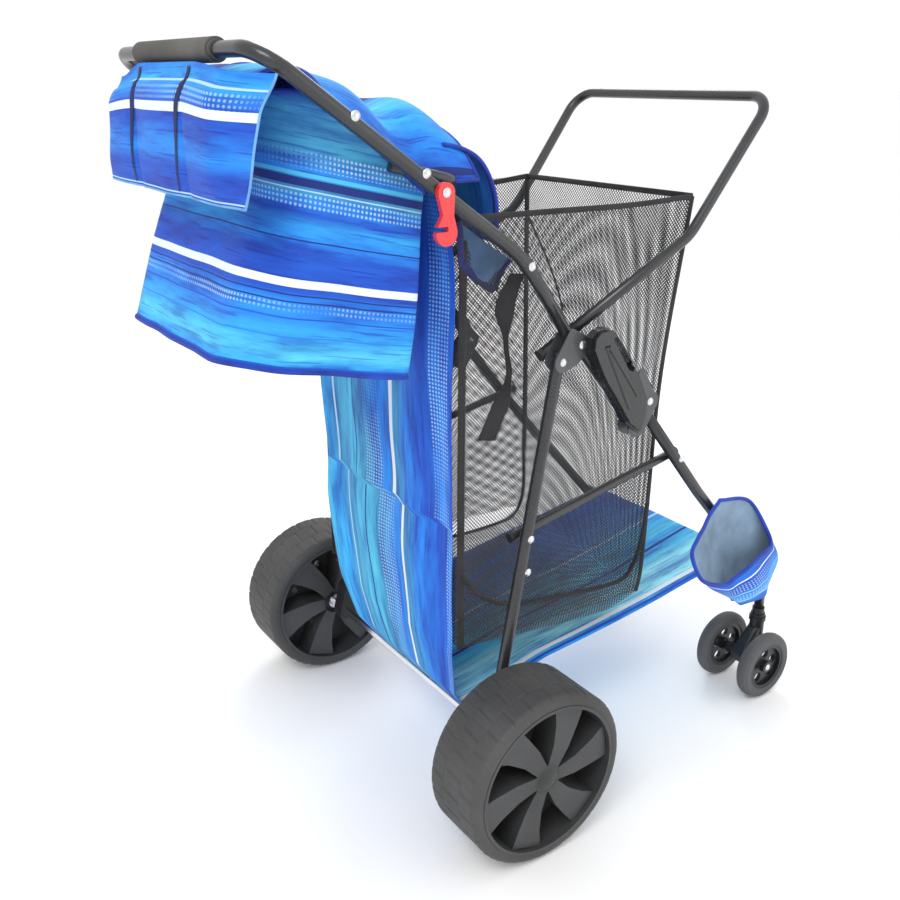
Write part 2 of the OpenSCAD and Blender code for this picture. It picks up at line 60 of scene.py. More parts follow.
axle_low, axle_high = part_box("rear_axle")
AXLE_X = (axle_low.x + axle_high.x) / 2
AXLE_Z = (axle_low.z + axle_high.z) / 2


def at(x, z, y=0.0):
    """A point in millimetres: x from the rear axle, z from the ground, y to the left."""
    return Vector((AXLE_X + x * MM, y * MM, z * MM))


# ---- colours, as linear light ----

ROYAL = (0.003, 0.072, 0.52)
NAVY = (0.003, 0.020, 0.18)
AZURE = (0.008, 0.20, 0.74)
SKY = (0.022, 0.34, 0.82)
CYAN = (0.07, 0.50, 0.78)
TEAL = (0.035, 0.26, 0.52)
WHITE = (0.76, 0.84, 0.90)
PALE = (0.42, 0.66, 0.86)
BINDING_BLUE = (0.003, 0.040, 0.40)
LIGHT = (0.24, 0.66, 0.86)


# ---- node helpers ----

class Shader:
    """A material with its node tree and its Principled shader, and short ways to add nodes."""

    def __init__(self, name, roughness, metallic=0.0, sheen=0.0, coat=0.0):
        self.material = bpy.data.materials.new(name)
        self.material.use_nodes = True
        self.tree = self.material.node_tree
        self.shader = self.tree.nodes["Principled BSDF"]
        self.shader.inputs["Roughness"].default_value = roughness
        self.shader.inputs["Metallic"].default_value = metallic
        self.shader.inputs["Sheen Weight"].default_value = sheen
        self.shader.inputs["Coat Weight"].default_value = coat

    def node(self, kind, **settings):
        made = self.tree.nodes.new("ShaderNode" + kind)
        for key, value in settings.items():
            setattr(made, key, value)
        return made

    def link(self, source, target):
        self.tree.links.new(source, target)

    def feed(self, node, **values):
        for key, value in values.items():
            socket = node.inputs[key.replace("_", " ")]
            if isinstance(value, bpy.types.NodeSocket):
                self.link(value, socket)
            else:
                socket.default_value = value
        return node

    def coordinates(self, which, scale=(1, 1, 1)):
        source = self.node("TexCoord").outputs[which]
        mapping = self.node("Mapping")
        mapping.inputs["Scale"].default_value = scale
        self.link(source, mapping.inputs["Vector"])
        return mapping.outputs["Vector"]

    def noise(self, vector, scale, detail=3.0, roughness=0.5):
        made = self.node("TexNoise")
        self.feed(made, Vector=vector, Scale=scale, Detail=detail, Roughness=roughness)
        return made.outputs["Fac"]

    def math(self, operation, a, b=0.0):
        made = self.node("Math", operation=operation)
        for socket, value in zip(made.inputs, (a, b)):
            if isinstance(value, bpy.types.NodeSocket):
                self.link(value, socket)
            else:
                socket.default_value = value
        return made.outputs[0]

    def vector_math(self, operation, a, b=(0, 0, 0)):
        made = self.node("VectorMath", operation=operation)
        self.link(a, made.inputs[0])
        made.inputs[1].default_value = b
        return made.outputs["Value" if operation == "LENGTH" else "Vector"]

    def ramp(self, factor, stops, interpolation="LINEAR"):
        made = self.node("ValToRGB")
        ramp = made.color_ramp
        ramp.interpolation = interpolation
        while len(ramp.elements) < len(stops):
            ramp.elements.new(0.5)
        for element, (position, colour) in zip(ramp.elements, stops):
            element.position = position
        for element, (position, colour) in zip(ramp.elements, stops):
            element.color = (*colour, 1.0) if len(colour) == 3 else colour
        self.link(factor, made.inputs["Fac"])
        return made

    def mix(self, factor, a, b, blend="MIX"):
        made = self.node("Mix", data_type="RGBA", blend_type=blend)
        sockets = (made.inputs[0], made.inputs[6], made.inputs[7])
        for socket, value in zip(sockets, (factor, a, b)):
            if isinstance(value, bpy.types.NodeSocket):
                self.link(value, socket)
            elif socket.type == "RGBA":
                socket.default_value = (*value, 1.0)
            else:
                socket.default_value = value
        return made.outputs[2]

    def bump(self, height, strength, distance):
        made = self.node("Bump")
        self.feed(made, Height=height, Strength=strength, Distance=distance)
        self.link(made.outputs["Normal"], self.shader.inputs["Normal"])

    def colour(self, value):
        self.link(value, self.shader.inputs["Base Color"])

    def roughness(self, value):
        self.link(value, self.shader.inputs["Roughness"])


def grained(name, colour, roughness, grain, depth, spread=0.25, metallic=0.0, coat=0.0, wear=0.0):
    """Paint, plastic or metal: a slightly uneven colour, an uneven gloss and a fine grain."""
    s = Shader(name, roughness, metallic=metallic, coat=coat)
    vector = s.coordinates("Object")
    broad = s.noise(vector, 9.0)
    fine = s.noise(vector, grain, detail=4.0)
    dark = tuple(c * (1 - spread) for c in colour)
    light = tuple(min(1.0, c * (1 + spread) + 0.004) for c in colour)
    base = s.ramp(broad, [(0.3, dark), (0.7, light)]).outputs["Color"]
    if wear:
        scuffs = s.noise(s.coordinates("Object", (1, 1, 6)), 60.0, detail=6.0, roughness=0.7)
        mask = s.ramp(scuffs, [(0.62, (0, 0, 0)), (0.72, (1, 1, 1))]).outputs["Color"]
        base = s.mix(s.math("MULTIPLY", mask, wear), base, tuple(min(1.0, c + 0.12) for c in colour))
    s.colour(base)
    low, high = (max(0.02, roughness - 0.08),) * 3, (min(1.0, roughness + 0.10),) * 3
    s.roughness(s.ramp(fine, [(0.35, low), (0.65, high)]).outputs["Color"])
    s.bump(fine, 0.25, depth)
    return s.material


def brushed(name, colour, roughness, along):
    """Plated steel with fine lines drawn out along one axis."""
    s = Shader(name, roughness, metallic=1.0)
    lines = s.noise(s.coordinates("Object", along), 220.0, detail=5.0)
    tint = s.ramp(lines, [(0.3, tuple(c * 0.86 for c in colour)), (0.7, colour)])
    s.colour(tint.outputs["Color"])
    low, high = (roughness * 0.7,) * 3, (roughness * 1.5,) * 3
    s.roughness(s.ramp(lines, [(0.35, low), (0.65, high)]).outputs["Color"])
    s.bump(lines, 0.12, 0.0002)
    return s.material


def weave_height(s, pitch):
    """Height of a plain weave with the given thread pitch in metres, from the cloth's own UVs."""
    uv = s.node("TexCoord").outputs["UV"]
    parts = s.node("SeparateXYZ")
    s.link(uv, parts.inputs[0])
    threads = [
        s.math("SINE", s.math("MULTIPLY", parts.outputs[k], 2 * math.pi / pitch)) for k in (0, 1)
    ]
    return s.math("MULTIPLY", threads[0], threads[1])


def dotted(s, uv, pitch, size):
    """1 inside round dots that repeat at the given pitch in metres."""
    cells = s.vector_math("FRACTION", s.vector_math("MULTIPLY", uv, (1 / pitch, 1 / pitch, 0)))
    away = s.vector_math("LENGTH", s.vector_math("SUBTRACT", cells, (0.5, 0.5, 0)))
    return s.math("LESS_THAN", away, size)


THREAD_PITCH = 1.1 * MM
DOT_PITCH = 5.8 * MM
DOT_SIZE = 0.30


def striped(name, length, washes, lines, dots=(), run=0, shift=0.010):
    """Printed cloth: watery washes of colour in bands, broken dashes, crisp lines and rows of dots.

    washes are (place, colour), lines are (start, end, colour) and dots are (start, end), all in
    metres along the direction that crosses the stripes. run is the UV axis that the stripes
    follow, and shift is how far the washes wander.
    """
    s = Shader(name, 0.78, sheen=0.03)
    uv = s.coordinates("UV")
    stretch = (7, 45, 1) if run == 0 else (45, 7, 1)
    watery = s.noise(s.coordinates("UV", stretch), 1.0, detail=5.0, roughness=0.62)
    drift = s.noise(s.coordinates("UV", (5, 5, 1)), 1.0, detail=2.0)
    parts = s.node("SeparateXYZ")
    s.link(uv, parts.inputs[0])
    across = parts.outputs[1 - run]
    moved = s.math("ADD", across, s.math("MULTIPLY", s.math("SUBTRACT", watery, 0.5), shift * 6))
    moved = s.math("ADD", moved, s.math("MULTIPLY", s.math("SUBTRACT", drift, 0.5), shift * 3))
    soft = s.ramp(s.math("DIVIDE", moved, length), [(p / length, c) for p, c in washes])
    streaks = s.ramp(watery, [(0.36, (0.40, 0.52, 0.74)), (0.5, (1, 1, 1)), (0.64, (1.5, 1.35, 1.14))])
    base = s.mix(1.0, soft.outputs["Color"], streaks.outputs["Color"], "MULTIPLY")
    thin = (9, 260, 1) if run == 0 else (260, 9, 1)
    broken = s.noise(s.coordinates("UV", thin), 1.0, detail=2.0)
    dashes = s.ramp(broken, [(0.60, (1, 1, 1)), (0.64, (0.42, 0.52, 0.80))])
    base = s.mix(1.0, base, dashes.outputs["Color"], "MULTIPLY")
    place = s.math("DIVIDE", across, length)
    if dots:
        stops = [(0.0, (0, 0, 0))]
        for start, end in dots:
            stops += [(start / length, (1, 1, 1)), (end / length, (0, 0, 0))]
        rows = s.ramp(place, stops, "CONSTANT").outputs["Color"]
        breaks = s.ramp(drift, [(0.38, (0.15,) * 3), (0.55, (1, 1, 1))]).outputs["Color"]
        mask = s.math("MULTIPLY", s.math("MULTIPLY", dotted(s, uv, DOT_PITCH, DOT_SIZE), rows), breaks)
        base = s.mix(s.math("MULTIPLY", mask, 0.75), base, PALE)
    if lines:
        stops = [(0.0, (0, 0, 0, 0))]
        for start, end, colour in lines:
            stops += [(start / length, (*colour, 1)), (end / length, (*colour, 0))]
        crisp = s.ramp(place, stops, "CONSTANT")
        base = s.mix(crisp.outputs["Alpha"], base, crisp.outputs["Color"])
    s.colour(base)
    s.bump(weave_height(s, THREAD_PITCH), 0.35, 0.0004)
    return s.material


def plain_cloth(name, colour, pitch=THREAD_PITCH, spread=0.3):
    """Woven tape, webbing or lining in one colour, faded in places."""
    s = Shader(name, 0.8, sheen=0.06)
    faded = s.noise(s.coordinates("Object"), 22.0, detail=4.0)
    dark = tuple(c * (1 - spread) for c in colour)
    light = tuple(min(1.0, c * (1 + spread) + 0.01) for c in colour)
    s.colour(s.ramp(faded, [(0.3, dark), (0.7, light)]).outputs["Color"])
    s.bump(weave_height(s, pitch), 0.5, 0.0006)
    return s.material


def netting(name, pitch, strand):
    """Black knitted net: thin strands round diamond holes, drawn with the shader's alpha."""
    s = Shader(name, 0.7, sheen=0.2)
    uv = s.coordinates("UV")
    turned = s.node("Mapping")
    turned.inputs["Rotation"].default_value = (0, 0, math.radians(45))
    s.link(uv, turned.inputs["Vector"])
    cells = s.vector_math("MULTIPLY", turned.outputs["Vector"], (1 / pitch, 1 / pitch, 0))
    away = s.vector_math("LENGTH", s.vector_math("SUBTRACT", s.vector_math("FRACTION", cells), (0.5, 0.5, 0)))
    bunched = s.noise(s.coordinates("UV", (9, 9, 1)), 1.0, detail=3.0)
    radius = s.math("ADD", strand, s.math("MULTIPLY", s.math("SUBTRACT", bunched, 0.5), -0.16))
    s.link(s.math("GREATER_THAN", away, radius), s.shader.inputs["Alpha"])
    s.colour(s.ramp(bunched, [(0.3, (0.006, 0.007, 0.009)), (0.7, (0.016, 0.018, 0.022))]).outputs["Color"])
    return s.material


# ---- mesh helpers ----

def finished(name, mesh, material, body, smooth=True):
    """Puts a mesh into the scene as a piece that rides on a body."""
    if smooth:
        for polygon in mesh.polygons:
            polygon.use_smooth = True
    piece = bpy.data.objects.new(name, mesh)
    bpy.context.scene.collection.objects.link(piece)
    mesh.materials.append(material)
    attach(piece, body)
    return piece


def rounded(points, radii, step=6.0):
    """The path through points with each inner corner rounded to its radius."""
    path = [points[0]]
    for before, corner, after, radius in zip(points, points[1:], points[2:], radii):
        into, out = (corner - before).normalized(), (after - corner).normalized()
        angle = into.angle(out)
        side = (out - into * out.dot(into)).normalized()
        start = corner - into * radius * math.tan(angle / 2)
        centre = start + side * radius
        axis = into.cross(side)
        count = max(2, math.ceil(math.degrees(angle) / step))
        for k in range(count + 1):
            path.append(centre + Matrix.Rotation(angle * k / count, 3, axis) @ (start - centre))
    return path + [points[-1]]


def smooth_path(points, steps=8):
    """A Catmull-Rom curve through the points."""
    ends = [points[0] * 2 - points[1]] + list(points) + [points[-1] * 2 - points[-2]]
    path = []
    for a, b, c, d in zip(ends, ends[1:], ends[2:], ends[3:]):
        for k in range(steps):
            t = k / steps
            path.append(0.5 * (2 * b + (c - a) * t + (2 * a - 5 * b + 4 * c - d) * t * t
                               + (3 * b - a - 3 * c + d) * t ** 3))
    return path + [points[-1]]


def sweep(name, path, half_width, half_depth=None, across=None, sides=24, closed=False):
    """The mesh of a rod or tape along a path, with UVs in metres; across is its width's direction."""
    half_depth = half_depth or half_width
    made = bmesh.new()
    uv = made.loops.layers.uv.new("UVMap")
    count = len(path)
    rings, reach, side = [], [0.0], across
    for i, point in enumerate(path):
        before = path[i - 1] if i or closed else point
        after = path[(i + 1) % count] if i < count - 1 or closed else point
        along = (after - before).normalized()
        if side is None:
            side = along.orthogonal()
        width = (across or side) - along * (across or side).dot(along)
        side = width.normalized()
        up = along.cross(side)
        rings.append([
            made.verts.new(point + side * half_width * math.cos(2 * math.pi * j / sides)
                           + up * half_depth * math.sin(2 * math.pi * j / sides))
            for j in range(sides)
        ])
        if i:
            reach.append(reach[-1] + (point - path[i - 1]).length)
    around = math.pi * (half_width + half_depth) / sides
    pairs = range(count if closed else count - 1)
    for i in pairs:
        after = (i + 1) % count
        for j in range(sides):
            k = (j + 1) % sides
            face = made.faces.new((rings[i][j], rings[i][k], rings[after][k], rings[after][j]))
            end = reach[after] if after else reach[-1] + (path[0] - path[-1]).length
            corners = ((j, reach[i]), (j + 1, reach[i]), (j + 1, end), (j, end))
            for loop, (u, v) in zip(face.loops, corners):
                loop[uv].uv = (u * around, v)
    if not closed:
        made.faces.new(rings[0][::-1])
        made.faces.new(rings[-1])
    mesh = bpy.data.meshes.new(name)
    made.to_mesh(mesh)
    made.free()
    return mesh


def patch(name, columns, rows, place, size, around=False, measure=None):
    """The mesh of a sheet: place(u, v) gives a point for shares u and v, size its width and length.

    measure(u, v) may give the cloth's own coordinates in metres where it isn't a rectangle.
    """
    measure = measure or (lambda u, v: (u * size[0], v * size[1]))
    made = bmesh.new()
    uv = made.loops.layers.uv.new("UVMap")
    wide = columns if around else columns + 1
    grid = [[made.verts.new(place(i / columns, j / rows)) for i in range(wide)] for j in range(rows + 1)]
    for j in range(rows):
        for i in range(columns):
            k = (i + 1) % wide
            face = made.faces.new((grid[j][i], grid[j][k], grid[j + 1][k], grid[j + 1][i]))
            corners = ((i, j), (i + 1, j), (i + 1, j + 1), (i, j + 1))
            for loop, (a, b) in zip(face.loops, corners):
                loop[uv].uv = measure(a / columns, b / rows)
    mesh = bpy.data.meshes.new(name)
    made.to_mesh(mesh)
    made.free()
    return mesh


def thicken(piece, thickness):
    """Gives a sheet its cloth's thickness."""
    solidify = piece.modifiers.new("thickness", "SOLIDIFY")
    solidify.thickness = thickness
    solidify.offset = 0
    return piece


def wrinkle(point, scale, seed=0.0):
    """A smooth value from -1 to 1 that wanders over the cloth."""
    return noise.noise(Vector((point[0] * scale + seed, point[1] * scale, point[2] * scale - seed)))


def lerp(a, b, t):
    return a + (b - a) * t


def profile(points, t):
    """The point at share t of an open line of points, by its length."""
    lengths = [0.0]
    for a, b in zip(points, points[1:]):
        lengths.append(lengths[-1] + (b - a).length)
    goal = t * lengths[-1]
    for i in range(1, len(points)):
        if goal <= lengths[i] or i == len(points) - 1:
            share = (goal - lengths[i - 1]) / (lengths[i] - lengths[i - 1])
            return points[i - 1].lerp(points[i], min(1.0, max(0.0, share)))


def line_length(points):
    """The length of a line of points."""
    return sum((b - a).length for a, b in zip(points, points[1:]))


def ease(start, end, value):
    """0 before start, 1 after end, and smooth between them."""
    t = max(0.0, min(1.0, (value - start) / (end - start)))
    return t * t * (3 - 2 * t)


# ---- camera, light and floor ----

def add_camera():
    """The view that looks down on the cart from behind its right side."""
    data = bpy.data.cameras.new("camera")
    data.lens = 39.95
    data.sensor_width = 36.0
    camera = bpy.data.objects.new("camera", data)
    camera.location = (-0.930, -1.244, 1.078)
    camera.rotation_euler = (math.radians(69.32), math.radians(0.15), math.radians(-34.79))
    bpy.context.scene.collection.objects.link(camera)
    bpy.context.scene.camera = camera


def add_lamp(name, place, aim, size, watts):
    """A square soft lamp at a place, turned towards a point."""
    data = bpy.data.lights.new(name, "AREA")
    data.size = size
    data.energy = watts
    lamp = bpy.data.objects.new(name, data)
    lamp.location = place
    lamp.rotation_euler = (Vector(aim) - Vector(place)).to_track_quat("-Z", "Y").to_euler()
    bpy.context.scene.collection.objects.link(lamp)


def add_studio():
    """White surroundings, three soft lamps and a pale floor."""
    world = bpy.data.worlds.new("studio")
    world.use_nodes = True
    background = world.node_tree.nodes["Background"]
    background.inputs["Color"].default_value = (1.0, 1.0, 1.0, 1.0)
    background.inputs["Strength"].default_value = 1.03
    bpy.context.scene.world = world
    bpy.context.scene.view_settings.view_transform = "Standard"
    add_lamp("key", (-2.2, -1.6, 3.2), (0, 0, 0.5), 1.4, 48)
    add_lamp("back", (1.8, 2.4, 2.8), (0, 0, 0.6), 1.6, 30)
    add_lamp("fill", (1.6, -2.6, 1.2), (0.1, 0, 0.4), 2.4, 14)
    paint = Shader("floor_paint", 0.6)
    mottle = paint.noise(paint.coordinates("Object"), 3.0)
    paint.colour(paint.ramp(mottle, [(0.3, (0.965,) * 3), (0.7, (0.985,) * 3)]).outputs["Color"])
    made = bmesh.new()
    bmesh.ops.create_grid(made, x_segments=2, y_segments=2, size=60.0)
    mesh = bpy.data.meshes.new("floor")
    made.to_mesh(mesh)
    made.free()
    mesh.materials.append(paint.material)
    floor = bpy.data.objects.new("floor", mesh)
    floor.location.z = -0.0008
    bpy.context.scene.collection.objects.link(floor)


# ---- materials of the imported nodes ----

def node_materials():
    """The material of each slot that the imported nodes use."""
    return {
        "chrome_steel": brushed("chrome_steel", (0.82, 0.82, 0.84), 0.13, (1, 0.05, 1)),
        "pin_steel": brushed("pin_steel", (0.74, 0.74, 0.76), 0.26, (1, 1, 1)),
        "frame_black": grained("frame_black", (0.018, 0.019, 0.022), 0.30, 900, 0.0001, coat=0.25, wear=0.2),
        "black_plastic": grained("black_plastic", (0.014, 0.015, 0.017), 0.42, 700, 0.0002),
        "gloss_black": grained("gloss_black", (0.010, 0.011, 0.013), 0.22, 500, 0.0001, coat=0.3),
        "grey_plate": grained("grey_plate", (0.060, 0.065, 0.070), 0.36, 800, 0.0001, coat=0.15, wear=0.2),
        "link_grey": grained("link_grey", (0.030, 0.032, 0.036), 0.32, 900, 0.0001, coat=0.2),
        "foam_grip": grained("foam_grip", (0.085, 0.083, 0.076), 0.85, 650, 0.0007),
        "red_plastic": grained("red_plastic", (0.70, 0.018, 0.022), 0.28, 400, 0.0001, coat=0.3),
        "wheel_grey": grained("wheel_grey", (0.040, 0.041, 0.043), 0.48, 520, 0.0003),
        "tread_grey": grained("tread_grey", (0.046, 0.046, 0.046), 0.62, 420, 0.0005, wear=0.25),
        "cap_grey": grained("cap_grey", (0.018, 0.019, 0.020), 0.34, 500, 0.0002),
        "rim_black": grained("rim_black", (0.010, 0.011, 0.012), 0.36, 500, 0.0002),
        "caster_rubber": grained("caster_rubber", (0.075, 0.076, 0.080), 0.66, 480, 0.0005, wear=0.3),
    }


def dress_nodes(materials):
    """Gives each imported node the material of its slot."""
    for part in frame["record"]["subparts"]:
        made = materials.get(part["material_slot"])
        if made:
            for slot in frame["nodes"][part["node"]].material_slots:
                slot.material = made


# ---- smooth tubes in place of the faceted ones ----

SIDE_Y = 229
HANDLE = [(118, 745, SIDE_Y), (43, 851.6, SIDE_Y), (-313, 1103, SIDE_Y)]
HOOP = [(96.3, 712.1, 209), (374, 850, 210), (524, 1044, 217)]
STAY = [(-146, 976, 209.7), (-45, 953, 209.7)]
FRONT_LEG = [(276.6, 605, SIDE_Y), (420, 432, SIDE_Y), (621, 211, SIDE_Y), (621, 150, SIDE_Y)]


def there_and_back(half):
    """A path up the right side and down the left."""
    return [at(x, z, -y) for x, z, y in half] + [at(x, z, y) for x, z, y in reversed(half)]


def add_tubes(black):
    """Round tubes in place of the handle, the hoop, the stay and the front legs."""
    loops = [
        ("handle_tube", "handle", HANDLE, (200, 45, 45, 200), 9),
        ("hoop_tube", "hoop", HOOP, (70, 38, 38, 70), 8),
        ("tote_stay", "handle", STAY, (30, 30), 7),
    ]
    for node, body, half, radii, r in loops:
        path = rounded(there_and_back(half), [radius * MM for radius in radii])
        tube = finished(node + "_smooth", sweep(node, path, r * MM, sides=32), black, body)
        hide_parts(node)
    for side, sign in SIDES.items():
        points = [at(x, z, sign * y) for x, z, y in FRONT_LEG]
        path = rounded(points, [250 * MM, 40 * MM])
        mesh = sweep("front_leg_" + side, path, 9 * MM, sides=32)
        tube = finished("front_leg_smooth_" + side, mesh, black, "front_legs")
        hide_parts("front_leg_" + side)


# ---- treads ----

TREAD_ROWS = 3
TREAD_BLOCKS = 26
TREAD_DEPTH = 1.5 * MM


def tread_cut(turn, across):
    """How deep the tread is cut, from 0 to 1, at a share of a turn and a share of its width."""
    row = min(TREAD_ROWS - 1, int(across * TREAD_ROWS))
    inside = across * TREAD_ROWS - row
    phase = turn * TREAD_BLOCKS + 0.5 * (row % 2) + 0.12 * inside
    main = 1 - ease(0.05, 0.10, abs(phase % 1.0 - 0.5))
    to_edge = min(inside, 1 - inside)
    thin = (1 - ease(0.04, 0.08, abs((phase * 2 + 0.5) % 1.0 - 0.5))) * ease(0.1, 0.2, to_edge)
    ring = 1 - ease(0.02, 0.05, to_edge)
    return max(main, 0.45 * thin, 0.6 * ring)


def add_rear_tyres(material):
    """Tyres with a band of staggered blocks round a rounded shoulder, in place of the plain ones."""
    for side in SIDES:
        low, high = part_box("wheel_tyre_" + side)
        middle = Vector((AXLE_X, (low.y + high.y) / 2, AXLE_Z))
        half, r = (high.y - low.y) / 2, (high.x - low.x) / 2
        edge, steps = 10 * MM, 42
        shoulder = [(-half + 1 * MM, r - 17 * MM), (-half, r - 14 * MM), (-half + 0.3 * MM, r - 9 * MM),
                    (-half + 2.5 * MM, r - 5 * MM), (-half + 6 * MM, r - 1.8 * MM)]
        band = [(lerp(-half + edge, half - edge, k / steps), r) for k in range(steps + 1)]
        outline = shoulder + band + [(-y, radius) for y, radius in reversed(shoulder)]

        def place(u, v):
            y, radius = outline[round(v * (len(outline) - 1))]
            share = (y + half) / (2 * half)
            fade = ease(0.0, 0.06, min(share, 1 - share))
            radius -= TREAD_DEPTH * tread_cut(u, min(0.999, max(0.0, share))) * fade
            angle = 2 * math.pi * u
            return middle + Vector((math.cos(angle) * radius, y, math.sin(angle) * radius))

        mesh = patch("tread_" + side, 624, len(outline) - 1, place, (2 * math.pi * r, 2 * half), around=True)
        tyre = finished("treaded_tyre_" + side, mesh, material, "rear_wheel_" + side)
        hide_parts("wheel_tyre_" + side)


# ---- cloth ----

def add_rear_sheet():
    """The sheet that hangs from the stay to the axle, with a seam part way down."""
    line = [at(-50, 952), at(-47, 900), at(-46, 700), at(-45, 450), at(-43, 260), at(-30, 185), at(-5, 148)]
    length = line_length(line)
    half = 0.188
    seam_z = 0.465

    def edges(z):
        """Right and left edge of the sheet at a height: it gathers towards the axle."""
        gather = max(0.0, min(1.0, (0.42 - z) / 0.27))
        right = -half + 0.014 * gather + 0.004 * math.sin(z * 21)
        left = half - 0.008 - 0.080 * gather ** 1.6 + 0.003 * math.sin(z * 32 + 1.0)
        return right, left

    def place(u, v):
        p = profile(line, v).copy()
        right, left = edges(p.z)
        p.y = lerp(right, left, u)
        folds = 0.005 * math.sin(u * 17 + 2.2 * wrinkle(p, 3.0)) * min(1.0, (1 - v) * 6) * min(1.0, v * 8)
        p.x += folds + 0.004 * wrinkle(p, 9.0, 3.0)
        return p

    def measure(u, v):
        """The stripes step sideways at the seam, where a second panel is sewn on."""
        below = profile(line, v).z < seam_z
        return u * 2 * half + (0.035 if below else 0.0), v * length

    washes = [(0.0, ROYAL), (0.03, AZURE), (0.07, ROYAL), (0.11, AZURE), (0.15, TEAL), (0.19, AZURE),
              (0.24, TEAL), (0.28, CYAN), (0.34, TEAL), (0.38, SKY), (0.42, CYAN)]
    lines = [(0.160, 0.169, WHITE), (0.268, 0.272, NAVY), (0.340, 0.345, PALE)]
    dots = [(0.012, 0.05), (0.195, 0.235)]
    material = striped("sheet_cloth", 0.42, washes, lines, dots=dots, run=1, shift=0.005)
    mesh = patch("rear_sheet", 56, 120, place, (2 * half, length), measure=measure)
    sheet = finished("hanging_sheet", mesh, material, "rear_frame")
    thicken(sheet, 0.0012)
    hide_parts("rear_sheet")
    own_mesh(sheet)


def add_platform():
    """The sheet that runs from the axle to the front crossbar."""
    line = [at(-4, 148.5), at(60, 163), at(150, 187), at(280, 203), at(400, 220), at(500, 237),
            at(600, 252.5)]
    length = line_length(line)
    half = 0.190

    def place(u, v):
        p = profile(line, v).copy()
        narrow = 0.022 * (1 - v) ** 2
        p.y = lerp(-half + narrow, half - narrow, u)
        sag = math.sin(math.pi * v) * 0.006 * math.cos((u - 0.5) * math.pi)
        p.z += 0.0035 * math.sin(u * 14) * math.sin(math.pi * v) - sag + 0.002 * wrinkle(p, 8.0)
        return p

    washes = [(0.0, AZURE), (0.015, SKY), (0.03, LIGHT), (0.08, LIGHT), (0.105, CYAN), (0.13, SKY),
              (0.16, CYAN), (0.20, SKY), (0.24, AZURE), (0.38, ROYAL)]
    lines = [(0.004, 0.010, ROYAL), (0.016, 0.024, WHITE), (0.128, 0.135, NAVY), (0.205, 0.211, PALE)]
    material = striped("platform_cloth", 0.38, washes, lines, run=1)
    mesh = patch("platform", 48, 90, place, (2 * half, length))
    sheet = finished("platform_cloth_sheet", mesh, material, "rear_frame")
    thicken(sheet, 0.0012)
    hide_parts("platform_sheet")
    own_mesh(sheet)


def fold_against_legs(piece):
    """Gives a piece between the rear legs a mesh of its own."""
    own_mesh(piece)


BASKET_HALF = 194
BASKET_REAR = [(-29, 905), (-31, 700), (-33, 450), (-33, 275)]
BASKET_FRONT = {
    "right": [(391, 905), (352, 640), (343, 418), (338, 300), (330, 258)],
    "left": [(388, 905), (391, 731), (396, 473), (396, 380), (398, 262)],
}
BASKET_FLOOR = {
    "right": [(-33, 275), (80, 262), (200, 248), (274, 243), (330, 258)],
    "left": [(-33, 262), (80, 246), (216, 236), (328, 235), (398, 262)],
}
BASKET_HEM = {
    "right": [(-33, 395), (11, 346), (70, 318), (173, 300), (285, 290), (318, 310), (336, 360), (343, 418)],
    "left": [(-33, 300), (60, 262), (216, 238), (328, 236), (375, 246), (396, 290), (396, 380)],
}


